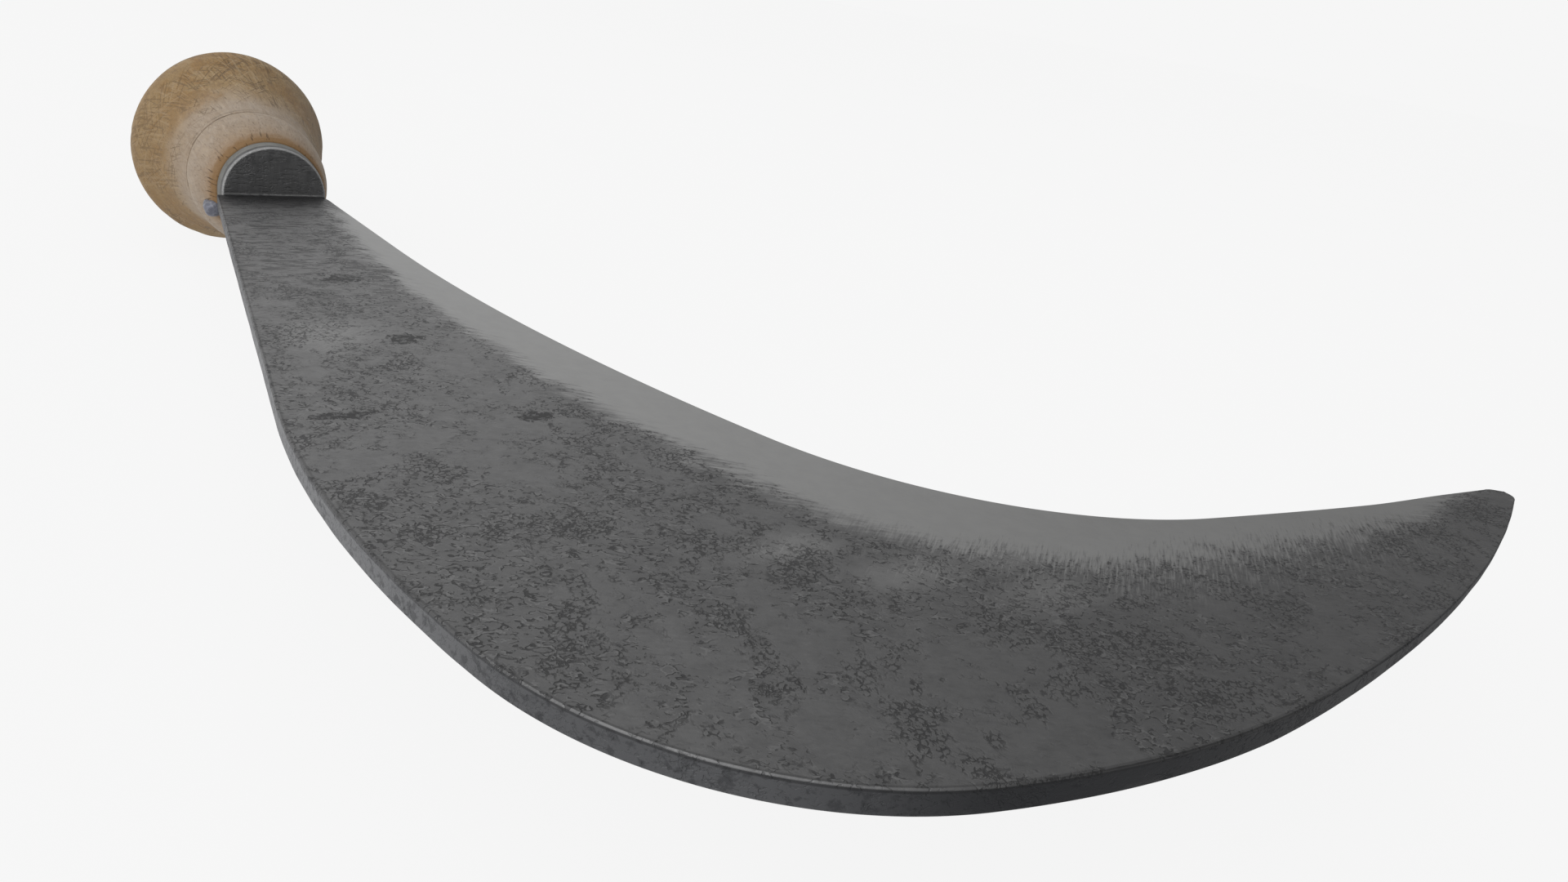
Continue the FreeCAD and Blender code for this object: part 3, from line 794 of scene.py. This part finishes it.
def steel_material():
    s = Shader("forged_steel")
    at = s.place()
    x, y, z = s.parts(at)
    along, from_spine, grind, plate = map(s.attribute, ("along", "from_spine", "grind", "plate"))

    # Forge scale: worm-like lines and fine nets, both broken up and gathered in patches. The worms
    # lie mostly along one direction.
    bent = s.warped(at, 0.5, 1.8, 80.0)
    lying = s.laid(bent, SCALE_HEADING, (0.50, 1.0, 1.0))
    field = s.noise(lying, 0.95, 2.0, 0.55, 0.4)
    worm = s.step(s.maths("ABSOLUTE", s.maths("SUBTRACT", field, 0.5)), 0.042, 0.014)
    broken = s.step(s.noise(at, 1.1, 2.0, 0.5, 0.0, 4.0), 0.42, 0.52)
    large = s.noise(at, 0.040, 4.0, 0.65, 0.4, 9.0)
    cluster = s.noise(at, 0.16, 4.0, 0.68, 0.4, 2.0)
    patch = s.step(s.total(s.product(large, 0.55), s.product(cluster, 0.45)), 0.455, 0.525)
    worms = s.product(worm, broken, patch)
    cells = s.cell_walls(s.warped(at, 1.2, 0.7, 81.0), 1.30)
    net = s.product(s.step(cells, 0.18, 0.07),
                    s.step(s.noise(at, 1.5, 2.0, 0.5, 0.0, 5.0), 0.42, 0.53))
    net_area = s.step(s.noise(at, 0.095, 4.0, 0.70, 0.6, 15.0), 0.50, 0.575)
    scale = s.most(worms, s.product(net, net_area))
    # Each worm gets a painted highlight along one of its sides, as if its raised lip caught the
    # light.
    worm_highlight = s.step(s.maths("ABSOLUTE", s.maths("SUBTRACT", field, 0.575)), 0.036, 0.012)
    worm_highlight = s.product(worm_highlight, broken, patch)
    # Dashes across the blade close to its root, and a few solid flakes.
    dash = s.noise(s.mapped(at, (0.22, 0.85, 1), 5), 1.3, 3.0, 0.6, 0.2, 51.0)
    dash = s.product(s.step(dash, 0.52, 0.58), s.step(along, 105.0, 30.0))
    ragged = s.swing(s.noise(at, 0.75, 3.0, 0.6, 0.4, 33.0), 3.0)
    flake = s.most(*(s.step(blob(s, x, y, centre, ragged), 1.0, 0.82) for centre in FLAKES))
    flake = s.product(flake, s.step(s.noise(at, 1.4, 2.0, 0.5, 0.0, 2.5), 0.36, 0.52, 0.35, 1.0))
    scale = s.most(scale, flake, s.product(dash, 0.92))

    # The ground bevel. Its border is soft, with fine strokes square to the edge round the bend.
    bend = s.product(s.step(along, 158.0, 196.0), s.step(along, 276.0, 240.0))
    strokes = s.noise(s.laid(at, STROKE_HEADING, (0.10, 1.0, 0.0)), 2.6, 2.0, 0.55, 0.05, 60.0)
    broad = s.noise(at, 0.10, 4.0, 0.6, 0.2, 61.0)
    reach = s.swing(strokes, s.blend(bend, 0.0, 24.0))
    dashes = s.noise(s.laid(at, SCALE_HEADING, (0.20, 1.0, 0.0)), 1.7, 3.0, 0.6, 0.1, 62.0)
    reach = s.total(reach, s.swing(dashes, s.blend(bend, 12.0, 3.0)), s.swing(broad, 9.0))
    inside = s.maths("SUBTRACT", s.total(grind, reach), s.step(along, 258.0, 297.0, 0.0, 5.5))
    ground = s.step(s.maths("DIVIDE", inside, s.blend(bend, 3.4, 6.0)), -1.0, 1.0)
    # Beyond the border the strokes go on as thin light streaks that die out.
    uneven = s.maths("SUBTRACT", broad, 0.5)
    smear = s.most(*(s.step(blob(s, x, y, centre, uneven), 1.3, 0.1) for centre in SMEARS))
    streaks = s.most(s.product(s.step(grind, -13.0, -1.0), bend), smear)
    streaks = s.product(s.step(strokes, 0.44, 0.66), streaks)
    ground = s.most(ground, s.product(streaks, 0.62))
    ground = s.most(ground, s.product(smear, 0.42))
    ground = s.product(ground, plate)
    kept = s.step(ground, 0.85, 0.25, 0.03, 1.0)
    scale, worm_highlight, crowded = (s.product(part, kept) for part in (scale, worm_highlight, patch))

    tone = s.noise(at, 0.028, 3.0, 0.55, 0.3, 70.0)
    mottled = s.noise(at, 0.34, 4.0, 0.62, 0.0, 71.0)
    base = s.mix(tone, STEEL_DARK, STEEL_LIGHT)
    base = s.mix(s.step(mottled, 0.38, 0.68, 0.0, 0.30), base, (0.080, 0.080, 0.082))
    grain = s.noise(s.laid(at, SCALE_HEADING, (0.42, 1.0, 1.0)), 1.3, 5.0, 0.72, 0.3, 77.0)
    base = s.mix(s.step(grain, 0.50, 0.70, 0.0, 0.34), base, (0.060, 0.060, 0.061))
    base = s.mix(s.step(grain, 0.48, 0.30, 0.0, 0.30), base, (0.240, 0.240, 0.240))
    # Painted shade: the plate darkens from the root towards the tip, where it reflects less light.
    base = s.over(base, (0.045, 0.045, 0.046), s.step(along, 60.0, 240.0), STEEL_TIP_SHADE)
    # Painted light and shade: the bevel is lighter at the root and darker towards the tip.
    bright = s.mix(s.step(along, 150.0, 275.0), BEVEL_LIT_ROOT, BEVEL_SHADED_TIP)
    bright = s.mix(s.step(mottled, 0.3, 0.7, 0.0, 0.10), bright, (0.12, 0.12, 0.12))
    colour = s.mix(ground, base, bright)
    colour = s.over(colour, (0.030, 0.030, 0.031), crowded, 0.12)
    # Painted highlight beside the worms.
    colour = s.over(colour, (0.330, 0.330, 0.330), worm_highlight, 0.19)
    colour = s.over(colour, (0.026, 0.026, 0.027), scale, 0.68)
    colour = s.over(colour, (0.022, 0.022, 0.023), flake, 0.45)
    # The spine: a painted highlight along its corner, with painted shade on it in places, a dark
    # line below it, and a blue-grey pitted wall, lighter on the left as painted light and darker on
    # the right as painted shade.
    wall = s.product(s.step(from_spine, 0.32, 0.14), s.step(z, -0.12, -0.30))
    pits = s.step(s.noise(at, 0.8, 4.0, 0.65, 0.4, 75.0), 0.50, 0.62)
    # Painted shade: the wall darkens from its lit left end towards the right.
    wall_shade_share = s.total(s.step(x, -23.5, -14.0, 0.0, 0.53), s.step(x, -4.0, 20.0, 0.0, 0.47))
    wall_colour = s.mix(wall_shade_share, WALL_LIT_LEFT, WALL_SHADED_RIGHT)
    wall_colour = s.over(wall_colour, (0.026, 0.027, 0.030), pits, 0.5)
    wall_colour = s.over(wall_colour, (0.015, 0.015, 0.016), s.step(z, -0.62, -0.46), 0.55)
    colour = s.mix(wall, colour, wall_colour)
    top_line = s.product(s.step(from_spine, 0.62, 0.45), s.step(from_spine, 0.20, 0.30),
                         s.step(z, -0.7, -0.3))
    colour = s.over(colour, (0.030, 0.030, 0.031), top_line, 0.40)
    # Painted highlight along the spine's corner near the root and towards the point.
    corner = s.product(s.step(from_spine, 0.30, 0.18), s.step(z, -0.24, -0.12), plate)
    wear_and_highlight = s.product(s.step(x, 30.0, 2.0, 0.0, 0.42), s.step(x, -21.0, -4.0, 0.05, 1.0))
    wear_and_highlight = s.total(wear_and_highlight, s.step(x, 92.0, 118.0, 0.0, 0.8))
    colour = s.over(colour, (0.26, 0.26, 0.265), corner, wear_and_highlight)
    # Painted shade along the corner between those highlights.
    corner_shade = s.total(s.step(x, 5.0, 34.0, 0.0, 0.7), s.step(x, -6.0, -20.0, 0.0, 0.35))
    colour = s.over(colour, (0.018, 0.018, 0.019), corner, corner_shade, s.step(x, 112.0, 92.0))
    # Painted shade on the blade where it meets the bolster, standing in for the dark bolster's
    # reflection, and the bolster's brushed face with a painted highlight on its rim and in the
    # hollow.
    # Painted shade: darker close to the bolster's front face.
    bolster_reflection_shade = s.product(s.step(y, FRONT - 15.0, FRONT - 1.0), plate)
    colour = s.over(colour, (0.020, 0.020, 0.021), bolster_reflection_shade, 0.75)
    face = s.maths("SUBTRACT", 1.0, plate)
    brushed = s.noise(s.joined(x, y, s.product(z, 0.12)), 1.6, 3.0, 0.6, 0.0, 76.0)
    face_colour = s.mix(s.step(brushed, 0.35, 0.7), BOLSTER_DARK, BOLSTER_LIGHT)
    face_colour = s.mix(s.step(mottled, 0.5, 0.7, 0.0, 0.5), face_colour, (0.055, 0.055, 0.056))
    radius = s.length(x, z)
    # Painted highlight on the bolster's rounded rim.
    face_colour = s.over(face_colour, (0.30, 0.30, 0.30), s.step(radius, 10.6, 10.8),
                         s.step(radius, 11.15, 11.0))
    # Painted highlight where the hollow turns up into the bolster.
    hollow_highlight = s.product(s.step(z, 0.62, 0.30), s.step(z, -1.0, -0.2),
                          s.step(x, -9.0, 1.0, 0.15, 1.0))
    face_colour = s.over(face_colour, (0.32, 0.32, 0.32), hollow_highlight, 0.20)
    colour = s.mix(face, colour, face_colour)

    rough = s.blend(ground, s.blend(tone, 0.44, 0.52), 0.42)
    rough = s.blend(s.product(scale, 0.7), rough, 0.66)
    relief = s.maths("SUBTRACT", s.product(mottled, 0.55), s.product(scale, 0.8))
    relief = s.total(relief, s.product(grain, 0.45))
    relief = s.product(relief, s.maths("SUBTRACT", 1.0, s.product(ground, 0.88)))
    return s.finish(colour, rough, 0.75, relief, 0.00014, 0.8)


def ferrule_material():
    s = Shader("ferrule_steel")
    at = s.place()
    x, y, z = s.parts(at)
    angle = s.maths("ARCTAN2", z, x)
    turning = s.noise(s.joined(s.product(angle, 1.2), s.product(y, 9.0), 0.0),
                      1.0, 3.0, 0.6, 0.0, 5.0)
    tarnish = s.noise(at, 0.35, 4.0, 0.6, 0.4, 6.0)
    colour = s.mix(s.step(tarnish, 0.35, 0.7), (0.180, 0.180, 0.172), (0.130, 0.130, 0.120))
    colour = s.mix(s.step(turning, 0.5, 0.8, 0.0, 0.35), colour, (0.23, 0.23, 0.22))
    # The rear edge holds dirt and a trace of rust.
    rear = s.step(s.total(y, s.product(tarnish, 0.6)), FRONT + 3.05, FRONT + 3.55)
    colour = s.over(colour, (0.13, 0.10, 0.065), rear, 0.6)
    rough = s.blend(tarnish, 0.46, 0.60)
    return s.finish(colour, rough, 0.6, turning, 0.00005, 0.5)


def pin_material():
    s = Shader("pin_steel")
    at = s.place()
    blotch = s.noise(at, 0.9, 4.0, 0.6, 0.5, 3.0)
    pits = s.step(s.noise(at, 3.0, 2.0, 0.5, 0.0, 8.0), 0.60, 0.72)
    colour = s.mix(s.step(blotch, 0.35, 0.68), (0.13, 0.135, 0.165), (0.24, 0.245, 0.275))
    colour = s.over(colour, (0.06, 0.06, 0.07), pits, 0.6)
    rough = s.blend(blotch, 0.40, 0.58)
    return s.finish(colour, rough, 0.6, s.maths("SUBTRACT", blotch, pits), 0.00010, 0.6)


def wood_material():
    s = Shader("turned_wood")
    at = s.place()
    x, y, z = s.parts(at)
    station = s.maths("SUBTRACT", y, FRONT)
    angle = s.maths("ARCTAN2", z, x)
    # Grain runs along the handle: growth rings cut by the turned surface, and fine fibres.
    long_grain = s.mapped(at, (1.0, 0.10, 1.0))
    rings = s.noise(s.mapped(at, (1.0, 0.06, 0.55), 4), 0.17, 3.0, 0.5, 1.4, 1.0)
    rings = s.step(s.maths("FRACT", s.product(rings, 7.0)), 0.0, 0.9)
    fibres = s.noise(long_grain, 2.2, 4.0, 0.7, 0.2, 2.0)
    pores = s.step(s.noise(s.mapped(at, (1.0, 0.07, 1.0)), 3.4, 2.0, 0.5, 0.0, 3.0), 0.58, 0.70)
    blotch = s.noise(at, 0.07, 4.0, 0.6, 0.6, 4.0)
    spots = s.noise(at, 0.30, 4.0, 0.65, 0.5, 6.0)
    ochre = s.step(s.noise(at, 0.085, 5.0, 0.66, 0.7, 5.0), 0.45, 0.58)

    fine = s.step(fibres, 0.3, 0.7)
    pale = s.mix(fine, *PALE_WOOD)
    tan = s.mix(fine, *TAN_WOOD)
    brown = s.mix(fine, *BROWN_WOOD)
    outward = s.step(s.total(station, s.swing(blotch, 26.0)), 22.0, 42.0)
    colour = s.mix(outward, pale, tan)
    colour = s.over(colour, brown, ochre, s.blend(outward, 0.12, 0.85))
    colour = s.over(colour, (0.16, 0.095, 0.045), s.step(spots, 0.50, 0.66),
                    s.blend(outward, 0.16, 0.42))
    colour = s.over(colour, (0.40, 0.31, 0.21), s.step(spots, 0.46, 0.34), 0.25)
    colour = s.over(colour, (0.18, 0.115, 0.06), rings, 0.18)
    colour = s.over(colour, (0.10, 0.065, 0.035), pores, 0.40)

    # Scratches in crossing directions, most of them on the flare, dark ones and pale ones.
    around = s.joined(s.product(angle, 19.0), station, 0.0)
    dark_lines, pale_lines = [], []
    for heading, seed in ((-22, 11.0), (40, 12.0), (-64, 13.0), (-8, 14.0)):
        lines = s.noise(s.laid(around, heading, (1.0, 0.05, 1.0)), 1.9, 1.0, 0.4, 0.0, seed)
        area = s.step(s.noise(at, 0.12, 2.0, 0.5, 0.0, seed + 20), 0.46, 0.56)
        dark_lines.append(s.product(s.step(lines, 0.60, 0.665), area))
        pale_lines.append(s.product(s.step(lines, 0.40, 0.335), area))
    on_flare = s.step(station, 17.0, 32.0, 0.22, 1.0)
    dark_lines, pale_lines = (s.product(s.most(*lines), on_flare)
                              for lines in (dark_lines, pale_lines))
    colour = s.over(colour, (0.100, 0.062, 0.030), dark_lines, 0.60)
    colour = s.over(colour, (0.42, 0.32, 0.20), pale_lines, 0.30)

    # Rust stain round the ferrule, with dark cracks running out of it.
    ragged = s.noise(s.joined(s.product(angle, 6.0), station, 0.0), 1.0, 4.0, 0.7, 0.0, 31.0)
    front = s.total(station, s.swing(ragged, 3.0))
    colour = s.over(colour, (0.26, 0.150, 0.065), s.step(front, 9.5, 4.5), 0.40)
    stain = s.step(front, 6.2, 4.0)
    colour = s.over(colour, STAIN, stain, 0.86)
    cracks = s.noise(s.joined(s.product(angle, 11.0), s.product(station, 0.12), 0.0),
                     2.6, 2.0, 0.5, 0.2, 35.0)
    cracks = s.product(s.step(cracks, 0.59, 0.66), s.step(front, 8.2, 5.0))
    colour = s.over(colour, (0.045, 0.024, 0.010), cracks, 0.75)
    # The turned line and a fainter second line beside it darkened, broken in places.
    line = s.step(s.maths("ABSOLUTE", s.maths("SUBTRACT", station, BEAD_END[0])), 0.62, 0.20)
    second = s.maths("SUBTRACT", station, BEAD_END[0] + 1.9)
    second = s.step(s.maths("ABSOLUTE", second), 0.40, 0.10)
    line = s.most(line, s.product(second, s.step(z, -2.0, 8.0), 0.45))
    line = s.product(line, s.step(s.noise(at, 0.16, 3.0, 0.6, 0.0, 41.0), 0.38, 0.54, 0.25, 1.0))
    colour = s.over(colour, (0.062, 0.045, 0.030), line, 0.92)
    # Browner wood on the crest's one side, and on the other painted shade greying the whole handle.
    colour = s.over(colour, (0.200, 0.120, 0.044), s.step(x, -6.0, -21.0),
                    s.step(station, 13.0, 24.0), 0.34)
    colour = s.mix(s.step(x, 6.0, 22.0, 0.0, WOOD_SHADE_GREY), colour, (0.23, 0.20, 0.165))

    rough = s.blend(s.most(fibres, stain), 0.55, 0.72)
    relief = s.total(s.product(fibres, 0.25), s.product(rings, 0.1))
    relief = s.total(relief, s.product(spots, 0.35))
    for share, dent in ((0.35, pores), (0.7, dark_lines), (0.9, cracks)):
        relief = s.maths("SUBTRACT", relief, s.product(dent, share))
    return s.finish(colour, rough, 0.0, relief, 0.00018, 0.7, **{"Specular IOR Level": 0.3})


# ---------------------------------------------------------------- pieces

PIECES = (
    (make_blade, "blade", "forged_steel", steel_material, 30),
    (make_ferrule, "ferrule", "ferrule_steel", ferrule_material, 35),
    (make_handle, "handle", "turned_wood", wood_material, 40),
    (make_pin, "neck_pin", "pin_steel", pin_material, 40),
)
for make, node, slot, material, angle in PIECES:
    piece = make()
    piece.data.materials.clear()
    piece.data.materials.append(material())
    smooth_shade(piece, angle)
    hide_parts(node)
    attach(piece, BODY)

# ---------------------------------------------------------------- floor, light and camera

PALE = grey(246)
SKY_BASE, SKY_WIDE, SKY_LEFT, SKY_BACK = 0.40, 0.38, 0.14, 0.24
FLOOR_GLOW, FLOOR_REACH, FLOOR_CELLS, FLOOR_GAP = 0.968, 12000.0, 16, 0.3
LENS, SENSOR = 24.45, 36.0


def make_floor():
    """A pale floor that shows evenly to the camera with a faint shadow, and lets the studio's
    light up from below for everything else."""
    low = min(cad_low.z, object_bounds()[0].z) / MM - FLOOR_GAP
    row = FLOOR_CELLS + 1
    ticks = np.linspace(-FLOOR_REACH, FLOOR_REACH, row)
    verts = [(x, y, low) for y in ticks for x in ticks]
    faces = [(a, a + 1, a + row + 1, a + row) for r in range(FLOOR_CELLS)
             for a in range(r * row, r * row + FLOOR_CELLS)]
    floor = to_object("floor", verts, faces)
    s = Shader("pale_floor")
    speckle = s.noise(s.place(), 0.02, 3.0, 0.5, 0.0, 1.0)
    lit = s.mix(speckle, (0.034, 0.034, 0.034), (0.038, 0.038, 0.038))
    lit = s.node("BsdfDiffuse", {"Color": lit})
    glow = s.node("Emission", {"Color": (1.0, 1.0, 1.0), "Strength": PALE * FLOOR_GLOW})
    shown = s.node("AddShader", {0: lit.outputs[0], 1: glow.outputs[0]})
    floor.data.materials.append(s.to_camera(shown, s.node("BsdfTransparent")))


def make_world():
    """Soft light from all round, strongest from the left, weakest from the right of the camera."""
    bpy.context.scene.world = bpy.data.worlds.new("studio")
    s = Shader("studio", bpy.context.scene.world)
    way = s.node("TexCoord").outputs["Generated"]
    x, y, z = s.parts(way)
    strength = s.total(SKY_BASE, s.product(s.step(x, 0.75, -0.35), SKY_WIDE))
    strength = s.total(strength, s.product(s.step(x, -0.2, -0.9), SKY_LEFT))
    back = s.total(s.product(y, 0.97), s.product(z, 0.2))
    strength = s.total(strength, s.product(s.step(back, 0.55, 0.99), SKY_BACK))
    light = s.node("Background", {"Color": (1.0, 1.0, 1.0), "Strength": strength})
    seen = s.node("Background", {"Color": (PALE, PALE, PALE), "Strength": 1.0})
    s.to_camera(seen, light)


def soft_light(name, place, aim, size, watts):
    data = bpy.data.lights.new(name, "AREA")
    data.shape = "RECTANGLE"
    data.size, data.size_y = size
    data.energy = watts
    lamp = bpy.data.objects.new(name, data)
    lamp.location = place
    lamp.rotation_mode = "QUATERNION"
    lamp.rotation_quaternion = (Vector(aim) - Vector(place)).to_track_quat("-Z", "Y")
    lamp.visible_camera = False
    bpy.context.scene.collection.objects.link(lamp)


def make_camera():
    data = bpy.data.cameras.new("camera")
    camera = bpy.data.objects.new("camera", data)
    right = Vector((0.81795, -0.55352, 0.15676))
    down = Vector((-0.10046, -0.40572, -0.90846))
    forward = Vector((0.56645, 0.72733, -0.38747))
    turn = Matrix((right, -down, -forward)).transposed()
    camera.rotation_mode = "QUATERNION"
    camera.rotation_quaternion = turn.to_quaternion()
    camera.location = Vector((-49.315, FRONT - 269.134, 62.875)) * MM
    data.sensor_width = SENSOR
    data.lens = LENS
    data.clip_start, data.clip_end = 0.005, 20.0
    bpy.context.scene.collection.objects.link(camera)
    bpy.context.scene.camera = camera


make_floor()
make_world()
# The lamps' places and sizes are in metres.
CENTRE = (0.05, -0.22, 0.0)
soft_light("key_left", (-0.75, -0.35, 0.55), CENTRE, (0.9, 0.7), 3.0)
soft_light("top", (0.1, 0.1, 0.95), CENTRE, (1.2, 1.2), 2.0)
make_camera()
bpy.context.scene.view_settings.view_transform = "Standard"
